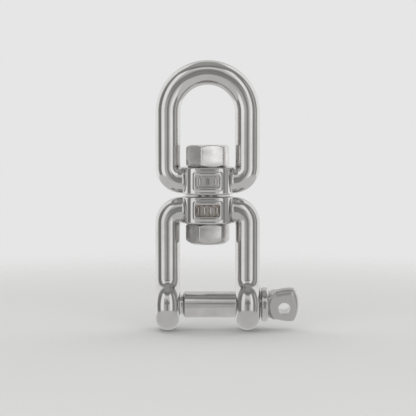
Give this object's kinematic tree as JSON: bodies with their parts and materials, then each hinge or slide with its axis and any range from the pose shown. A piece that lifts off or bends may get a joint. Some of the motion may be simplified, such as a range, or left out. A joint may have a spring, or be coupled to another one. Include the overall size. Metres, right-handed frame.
{
  "type": "anchor swivel",
  "caption": "Jaw and eye swivel for an anchor chain: a round-rod eye and a forked jaw turn on one hex bolt, with a screw pin through the jaw's ears.",
  "frame": {"origin": "inside of the eye's crown, on the swivel axis, where the chain bears", "axes": "+Z along the swivel axis from the jaw to the eye, +X along the screw pin towards its flat grip, +Y across both"},
  "size_m": [0.0706, 0.025, 0.1323],
  "materials": {
    "polished_casting": "polished",
    "hex_fastener": "satin",
    "polished_pin": "polished"
  },
  "bodies": {
    "eye": {"eye_body": "polished_casting"},
    "swivel": {"swivel_bolt": "hex_fastener", "swivel_nut": "hex_fastener"},
    "jaw": {"jaw_body": "polished_casting"},
    "pin": {"screw_pin": "polished_pin"}
  },
  "joints": [
    {"name": "bolt_turn", "type": "hinge", "parent": "eye", "child": "swivel", "pos_m": [0, 0, -0.0538], "axis": [0, 0, 1], "continuous": true},
    {"name": "jaw_swivel", "type": "hinge", "parent": "swivel", "child": "jaw", "pos_m": [0, 0, -0.0538], "axis": [0, 0, 1], "continuous": true},
    {"name": "pin_draw", "type": "slide", "parent": "jaw", "child": "pin", "axis": [1, 0, 0], "range_m": [0, 0.053]}
  ]
}
